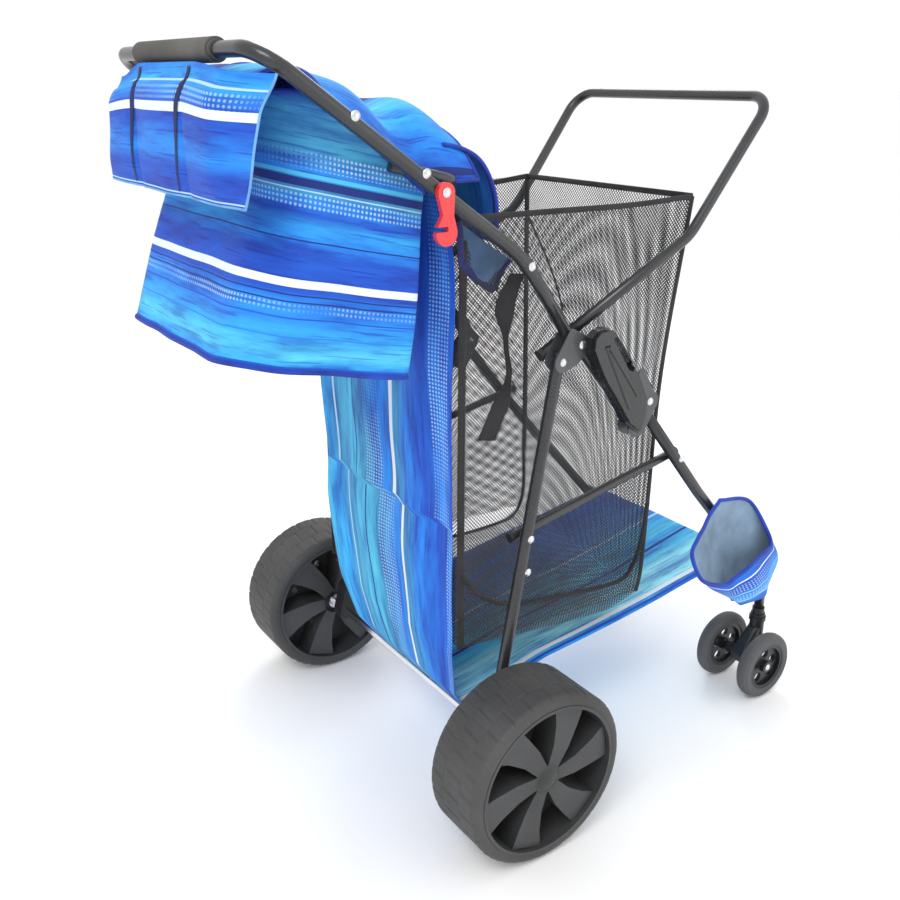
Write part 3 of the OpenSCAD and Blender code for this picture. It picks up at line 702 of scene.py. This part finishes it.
def add_basket(tape):
    """The net basket: four walls and a floor, with black binding on its edges."""
    net = netting("basket_mesh", 0.0042, 0.385)

    def wall(name, a, b, size, outward, sag=0.010):
        """A net wall between two lines of points that run downwards."""
        def place(u, v):
            p = profile(a, v).lerp(profile(b, v), u)
            bow = math.sin(math.pi * u) * math.sin(math.pi * v)
            return p + outward * (-sag * bow + 0.003 * wrinkle(p, 7.0, 2.0))
        return finished(name, patch(name, 40, 60, place, size), net, "rear_frame")

    def line(points, sign):
        return [at(x, z, sign * BASKET_HALF) for x, z in points]

    rear = {side: line(BASKET_REAR, sign) for side, sign in SIDES.items()}
    front = {side: line(BASKET_FRONT[side], sign) for side, sign in SIDES.items()}
    base = {side: line(BASKET_FLOOR[side], sign) for side, sign in SIDES.items()}
    walls = [wall("basket_wall_" + side, rear[side], front[side], (0.42, 0.64), Vector((0, sign, 0)))
             for side, sign in SIDES.items()]
    cut, forward = (0.39, 0.64), Vector((1, 0, 0))
    walls.append(wall("basket_wall_rear", rear["right"], rear["left"], cut, -forward, 0.0))
    walls.append(wall("basket_wall_front", front["right"], front["left"], cut, forward, 0.012))

    def floor_place(u, v):
        sag = 0.004 * math.sin(math.pi * u) * math.sin(math.pi * v)
        return profile(base["right"], v).lerp(profile(base["left"], v), u) - Vector((0, 0, sag))

    floor = patch("basket_floor", 40, 40, floor_place, (0.39, 0.38))
    walls.append(finished("basket_floor", floor, net, "rear_frame"))

    top_right = [at(x, z, -BASKET_HALF) for x, z in ((-29, 905), (120, 903), (270, 901), (391, 905))]
    top_left = [at(x, z, BASKET_HALF) for x, z in ((-29, 905), (120, 899), (270, 896), (388, 905))]
    up = Vector((0, 0, 1))
    edges = [
        (smooth_path(top_right), 4.0, up), (smooth_path(top_left), 4.5, up),
        (smooth_path(rear["right"]), 6.5, forward), (smooth_path(rear["left"]), 5.0, forward),
        (smooth_path(front["right"]), 4.5, forward), (smooth_path(front["left"][:4]), 5.5, forward),
        (smooth_path(line(BASKET_HEM["right"], RIGHT)), 6.0, None),
        (smooth_path(line(BASKET_HEM["left"], LEFT)), 5.5, None),
        ([rear["right"][0], rear["left"][0]], 4.5, up), ([front["right"][0], front["left"][0]], 4.5, up),
    ]
    for number, (path, half_width, across) in enumerate(edges):
        name = "basket_binding_%02d" % number
        if across is None:
            mesh = sweep(name, path, half_width * 0.6 * MM, sides=10)
        else:
            mesh = sweep(name, path, half_width * MM, 1.6 * MM, across=across, sides=10)
        walls.append(finished(name, mesh, tape, "rear_frame"))
    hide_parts("mesh_basket")
    for piece in walls:
        fold_against_legs(piece)


# ---- tote, lid and pockets ----

TOTE_HALF = 196
HANDLE_SLOPE = 0.7062


def handle_z(x):
    """Height in mm of the handle's tubes at a distance x from the axle."""
    return 1103 - (x + 313) * HANDLE_SLOPE


def fold_flat(piece):
    """Gives a piece behind the handle a mesh of its own."""
    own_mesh(piece)


def tote_loop(z):
    """The tote's outline at a height: a rectangle with wide corners at the back, which leans forward."""
    front = -115 + 0.123 * (z - 711)
    back = -350 + 0.39 * (min(z, 945) - 772)
    corners = [(front, RIGHT, 12), (back, RIGHT, 68), (back, LEFT, 68), (front, LEFT, 12)]
    loop = []
    for number, (x, sign, radius) in enumerate(corners):
        inward = 1 if x == back else -1
        centre = (x + inward * radius, sign * (TOTE_HALF - radius))
        for k in range(9):
            angle = math.radians(-90 * number - 90 * k / 8)
            loop.append(at(centre[0] + radius * math.cos(angle), z, centre[1] + radius * math.sin(angle)))
    return loop + [loop[0]]


def add_tote(blue_tape):
    """The tote: a soft box that hangs behind the handle, striped round its sides."""
    loops = {}

    def ring(u, z):
        key = round(z)
        if key not in loops:
            loops[key] = tote_loop(key)
        return profile(loops[key], u)

    def low_z(x):
        return 714 + (-116 - x) * 0.22

    def column(u):
        """The x of a place round the tote, with its bottom and its top height."""
        x = (ring(u, 850).x - AXLE_X) / MM
        return low_z(x), min(handle_z(x) - 12, 1060)

    def place(u, v):
        bottom, top = column(u)
        z = lerp(bottom, top, v)
        p = ring(u, z).copy()
        p.z = z * MM
        out = Vector((p.x - AXLE_X + 0.215, p.y, 0)).normalized()
        swell = 5 * MM * math.sin(math.pi * min(1.0, v * 1.15))
        swell += 4 * MM * wrinkle((p.x, p.y, p.z * 0.4), 14.0)
        sag = 3 * MM * wrinkle((p.x, p.y, 0), 11.0, 4.0) * (1 - v)
        return p + out * swell + Vector((0, 0, sag))

    def measure(u, v):
        bottom, top = column(u)
        return u * around, v * (top - bottom) * MM

    around = line_length(tote_loop(850))
    washes = [(0.0, ROYAL), (0.008, SKY), (0.020, CYAN), (0.045, SKY), (0.065, AZURE), (0.085, AZURE),
              (0.094, ROYAL), (0.112, ROYAL), (0.135, ROYAL), (0.150, AZURE), (0.168, SKY), (0.180, ROYAL),
              (0.195, AZURE), (0.206, TEAL), (0.225, AZURE), (0.250, TEAL), (0.290, TEAL), (0.320, ROYAL),
              (0.36, NAVY)]
    lines = [(0.0, 0.006, ROYAL), (0.040, 0.0412, AZURE), (0.062, 0.0628, ROYAL), (0.081, 0.0822, NAVY),
             (0.0885, 0.0905, NAVY), (0.097, 0.1075, WHITE), (0.149, 0.1502, NAVY), (0.2035, 0.2055, PALE),
             (0.2085, 0.2185, NAVY), (0.2195, 0.2245, CYAN)]
    dots = [(0.068, 0.080), (0.184, 0.2015), (0.229, 0.248)]
    cloth = striped("tote_cloth", 0.40, washes, lines, dots=dots, run=0, shift=0.003)
    mesh = patch("tote", 260, 64, place, (around, 0.3), around=True, measure=measure)
    tote = finished("tote_walls", mesh, cloth, "handle")
    thicken(tote, 0.0012)
    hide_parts("tote_bag")

    middle = at(-215, 738)

    def base_place(u, v):
        return middle.lerp(place(u, 0.0), v)

    base_mesh = patch("tote_base", 64, 8, base_place, (around, 0.006), around=True)
    base = finished("tote_base", base_mesh, cloth, "handle")
    hem_path = [place(k / 120, 0.0) for k in range(120)]
    hem = finished("tote_hem", sweep("tote_hem", hem_path, 3.2 * MM, sides=8, closed=True), blue_tape,
                   "handle")
    top_path = [place(k / 120, 1.0) for k in range(120)]
    rim = finished("tote_rim", sweep("tote_rim", top_path, 3.0 * MM, sides=8, closed=True), blue_tape,
                   "handle")
    for piece in (tote, base, hem, rim):
        fold_flat(piece)


def add_lid(blue_tape):
    """The crowned lid over the tote, its loose front part, and the pointed flap under the handle."""
    humps = [(-327, 1054), (-300, 1076), (-255, 1090), (-205, 1084), (-165, 1074), (-140, 1058),
             (-118, 1037), (-96, 1040), (-66, 1048), (-44, 1040), (-22, 1018)]
    crown = smooth_path([at(x, z) for x, z in humps], 5)

    def lid_place(u, v):
        p = profile(crown, v).copy()
        side = 2 * u - 1
        x = (p.x - AXLE_X) / MM
        edge = min(max(handle_z(x) + 4, 952), p.z / MM)
        p.z = lerp(p.z, edge * MM, abs(side) ** 5.0)
        p.y = side * 0.196
        p.x += 14 * MM * abs(side) ** 3 * ease(-60, -22, x)
        p.z += 5 * MM * wrinkle(p, 11.0, 6.0) * (1 - abs(side) ** 4)
        return p

    length = line_length(crown)
    washes = [(0.0, ROYAL), (0.02, AZURE), (0.06, SKY), (0.10, CYAN), (0.15, AZURE), (0.22, ROYAL),
              (0.28, AZURE), (0.34, SKY), (0.38, ROYAL)]
    lines = [(0.002, 0.006, NAVY), (0.150, 0.195, NAVY), (0.236, 0.2385, PALE), (0.322, 0.37, NAVY)]
    cloth = striped("lid_cloth", 0.38, washes, lines, dots=[(0.245, 0.290)], run=1, shift=0.006)
    mesh = patch("lid", 48, 72, lid_place, (0.38, length))
    lid = finished("tote_lid", mesh, cloth, "handle")
    thicken(lid, 0.0014)
    edges = [[lid_place(0.0, k / 40) for k in range(41)], [lid_place(1.0, k / 40) for k in range(41)],
             [lid_place(k / 30, 1.0) for k in range(31)], [lid_place(k / 30, 0.0) for k in range(31)],
             [lid_place(k / 30, 0.36) + Vector((0, 0, 2 * MM)) for k in range(31)]]
    pieces = [finished("lid_binding_%d" % n, sweep("lid_binding", path, 2.6 * MM, sides=8), blue_tape,
                       "handle") for n, path in enumerate(edges)]

    fall = [(-48, 1000), (-22, 996), (6, 984), (24, 962), (36, 930), (38, 895), (36, 870)]
    tail = smooth_path([at(x, z) for x, z in fall], 5)

    def tail_place(u, v):
        p = profile(tail, v).copy()
        p.y = lerp(-0.176, 0.060, u)
        p.z += 4 * MM * wrinkle(p, 12.0, 2.0) - 6 * MM * (2 * u - 1) ** 4
        return p

    mesh = patch("lid_tail", 32, 40, tail_place, (0.22, line_length(tail)))
    loose = finished("lid_tail", mesh, cloth, "handle")
    thicken(loose, 0.0014)
    edge = [tail_place(0.0, k / 30) for k in range(31)]
    trim = finished("lid_tail_binding", sweep("lid_tail_binding", edge, 2.6 * MM, sides=8), blue_tape,
                    "handle")

    lining = plain_cloth("lining_cloth", (0.045, 0.10, 0.20))
    flap_top = [at(-40, 902, -200), at(0, 874, -200), at(44, 846, -200)]
    flap_low = [at(-34, 850, -196), at(-8, 826, -192), at(24, 806, -190)]

    def flap_place(u, v):
        p = profile(flap_top, u).lerp(profile(flap_low, u), v)
        p.y += 10 * MM * math.sin(math.pi * v) * math.sin(2.5 * math.pi * u) * 0.5
        return p

    mesh = patch("lid_flap", 20, 20, flap_place, (0.10, 0.05))
    flap = finished("lid_flap", mesh, lining, "handle")
    thicken(flap, 0.0016)
    outline = [flap_place(0.0, k / 12) for k in range(13)] + [flap_place(k / 12, 1.0) for k in range(13)]
    outline += [flap_place(1.0, 1 - k / 12) for k in range(13)]
    mesh = sweep("lid_flap_hem", outline, 5.5 * MM, 1.8 * MM, across=Vector((1, 0, 0.4)), sides=8)
    navy_tape = plain_cloth("navy_binding", (0.004, 0.008, 0.10))
    hem = finished("lid_flap_hem", mesh, navy_tape, "handle")
    for piece in [lid, loose, trim, flap, hem] + pieces:
        fold_flat(piece)


# The gaps between the pockets: their y in mm at the hem and at the bottom. Dark strips of painted shade,
# narrowing downwards, lie along them.
PANEL_GAPS = [(75, 88), (-89, -66)]


def add_panel(pale_tape):
    """The pocket panel that hangs from the push bar: three pockets under one hem, and dark strips of painted
    shade in the gaps between them.
    """
    near, far, top, low = -238, 180, 1091, 943
    (left_gap, _), (right_gap, _) = PANEL_GAPS
    bounds = [(far, left_gap), (left_gap, right_gap), (right_gap, near)]

    def place(u, v):
        y = lerp(far, near, u)
        z = lerp(top, low, v)
        x = lerp(-332, -345, ease(0.0, 0.3, v))
        wrap = ease(-170, near, y)
        x += lerp(36, 1, v) * wrap
        hem = ease(0.12, 0.16, v)
        for start, end in bounds:
            if end <= y <= start:
                share = (y - end) / (start - end)
                depth = math.sin(math.pi * min(1.0, max(0.0, share))) ** 0.5
                x -= 10 * hem * depth * (1 - 0.5 * ease(0.8, 1.0, v)) * (1 - 0.6 * wrap)
        x += 3 * wrinkle((y * MM, z * MM, 0), 16.0)
        z -= 13 * ease(-90, near, y) * (1 - v) + 16 * ease(70, far, y) * (1 - v) ** 2
        outward = lerp(-20, 22, v) * ease(80, far, y)
        return at(x, z, y + outward)

    length = (top - low) * MM
    washes = [(0.0, AZURE), (0.018, SKY), (0.03, AZURE), (0.045, ROYAL), (0.062, ROYAL), (0.085, AZURE),
              (0.10, AZURE), (0.115, ROYAL), (0.148, ROYAL)]
    lines = [(0.018, 0.0205, PALE), (0.042, 0.053, WHITE), (0.143, 0.145, PALE)]
    cloth = striped("panel_cloth", 0.16, washes, lines, dots=[(0.024, 0.044)], run=0, shift=0.0025)
    mesh = patch("panel", 150, 56, place, (0.447, length))
    panel = finished("pocket_panel_cloth", mesh, cloth, "handle")
    thicken(panel, 0.0014)
    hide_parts("pocket_panel")
    # The navy strips laid over the gaps between the pockets are painted shade: dark cloth where the folds
    # fall in shadow, narrowing from the hem downwards.
    navy_tape = plain_cloth("panel_fold_shade", (0.003, 0.008, 0.09))
    pieces = []
    for number, (high, foot) in enumerate(PANEL_GAPS):
        def fold_shade_place(u, v, high=high, foot=foot):
            y = lerp(high, foot, v) + (u - 0.5) * lerp(9, 2, v)
            return place((far - y) / (far - near), lerp(0.03, 0.97, v)) - Vector((2.2 * MM, 0, 0))

        strip = patch("panel_fold_shade", 4, 30, fold_shade_place, (0.006, length))
        pieces.append(finished("panel_gap_%d" % number, strip, navy_tape, "handle"))
    border = [place(k / 60, 1.0) for k in range(61)] + [place(1.0, 1 - k / 24) for k in range(25)]
    pieces.append(finished("panel_border", sweep("panel_border", border, 1.6 * MM, sides=6), pale_tape,
                           "handle"))
    for piece in [panel] + pieces:
        fold_flat(piece)


def add_pouch(blue_tape):
    """The small open bag on the outside of the right front leg."""
    rim = [(461, 411, -243), (534, 393, -243), (562, 356, -255), (572, 312, -275), (520, 312, -295),
           (476, 310, -309), (442, 299, -309), (414, 293, -309), (358, 320, -309), (351, 358, -290),
           (377, 373, -275), (411, 385, -260)]
    base = [(446, 266, -292), (478, 232, -288), (548, 222, -280), (590, 254, -270)]
    rim_line = smooth_path([at(*point) for point in rim + rim[:1]], 6)
    base_line = [at(*point) for point in base]

    def foot(p):
        """Where a rim point's cloth reaches the bag's bottom."""
        share = ease(350, 575, (p.x - AXLE_X) / MM)
        return profile(base_line, share)

    def shell(inset):
        def place(u, v):
            edge = profile(rim_line, u)
            low = foot(edge)
            out = (edge - at(463, 340, -272))
            out.z = 0
            out = out.normalized() if out.length > 1e-6 else Vector((0, -1, 0))
            low = low + out * Vector((6, 14, 0)) * MM
            p = low.lerp(edge, v) + out * (12 * MM * math.sin(math.pi * v) - inset)
            return p + out * (3 * MM * wrinkle(p, 26.0, 1.0))
        return place

    around = line_length(rim_line)
    washes = [(0.0, ROYAL), (0.02, AZURE), (0.05, SKY), (0.07, AZURE), (0.09, ROYAL), (0.13, AZURE)]
    lines = [(0.030, 0.033, WHITE), (0.062, 0.065, PALE), (0.098, 0.101, WHITE)]
    dots = [(0.036, 0.058), (0.07, 0.092)]
    cloth = striped("pouch_cloth", 0.13, washes, lines, dots=dots, run=0, shift=0.004)
    inner = plain_cloth("pouch_lining", (0.20, 0.30, 0.42), spread=0.25)
    cut = (around, 0.12)
    mesh = patch("pouch", 96, 24, shell(0.0), cut, around=True)
    body = finished("pouch_body", mesh, cloth, "front_legs")
    mesh = patch("pouch_lining", 96, 24, shell(2.2 * MM), cut, around=True)
    lining = finished("pouch_lining", mesh, inner, "front_legs")
    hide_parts("leg_pouch")
    edge = [shell(0.001)(k / 96, 1.0) for k in range(96)]
    rim_tape = finished("pouch_rim", sweep("pouch_rim", edge, 3.4 * MM, sides=8, closed=True), blue_tape,
                        "front_legs")
    for piece in (body, lining, rim_tape):
        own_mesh(piece)


def add_strap():
    """Black webbing that hangs twisted from the handle, with a doubled end."""
    stations = [((57, 826), 20, 0), ((37, 785), 27, 10), ((40, 726), 13, 65), ((46, 689), 13, 60),
                ((34, 651), 24, 5), ((8, 598), 25, 0)]
    path = smooth_path([at(x, z, -198) for (x, z), width, twist in stations], 8)
    facing = Vector((0.82, -0.57, 0))

    def place(u, v):
        k = min(len(stations) - 2, int(v * (len(stations) - 1)))
        t = v * (len(stations) - 1) - k
        width = lerp(stations[k][1], stations[k + 1][1], ease(0, 1, t))
        twist = math.radians(lerp(stations[k][2], stations[k + 1][2], ease(0, 1, t)))
        along = (profile(path, min(1.0, v + 0.01)) - profile(path, max(0.0, v - 0.01))).normalized()
        side = Matrix.Rotation(twist, 3, along) @ facing
        return profile(path, v) + side * (u - 0.5) * width * MM

    strap = finished("tie_strap_webbing", patch("tie_strap", 10, 60, place, (0.025, line_length(path))),
                     plain_cloth("webbing", (0.012, 0.012, 0.014), pitch=0.0016), "handle")
    thicken(strap, 0.0016)
    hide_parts("tie_strap")
    fold_flat(strap)


def add_drawstring():
    """The thin cord that hangs from the basket's rim and ends in a knot."""
    string = smooth_path([at(96, 895, -170), at(129, 839, -170), at(146, 806, -170), at(163, 763, -170)], 8)
    cord = finished("drawstring", sweep("drawstring", string, 1.4 * MM, sides=8),
                    plain_cloth("drawstring_cloth", (0.01, 0.01, 0.012)), "rear_frame")
    turns = [(-2, 0, 3.6), (2.4, -1.6, 2), (2, 2, -2), (-2, 0.4, -0.8), (1.2, 0, -5.6)]
    knot_path = rounded([string[-1] + Vector(turn) * MM for turn in turns], [1.5 * MM] * 3)
    knot = finished("drawstring_knot", sweep("drawstring_knot", knot_path, 1.5 * MM, sides=8),
                    cord.data.materials[0], "rear_frame")
    tuple(string[0])
    line_length(string)
    [tuple(p) for p in string]
    for piece in (cord, knot):
        fold_against_legs(piece)


def add_everything():
    add_camera()
    add_studio()
    materials = node_materials()
    dress_nodes(materials)
    add_tubes(materials["frame_black"])
    add_rear_tyres(materials["tread_grey"])
    black_tape = plain_cloth("black_binding", (0.010, 0.010, 0.012))
    blue_tape = plain_cloth("blue_binding", BINDING_BLUE)
    pale_tape = plain_cloth("pale_binding", (0.16, 0.42, 0.80))
    add_rear_sheet()
    add_platform()
    add_basket(black_tape)
    add_tote(blue_tape)
    add_lid(blue_tape)
    add_panel(pale_tape)
    add_pouch(blue_tape)
    add_strap()
    add_drawstring()


add_everything()
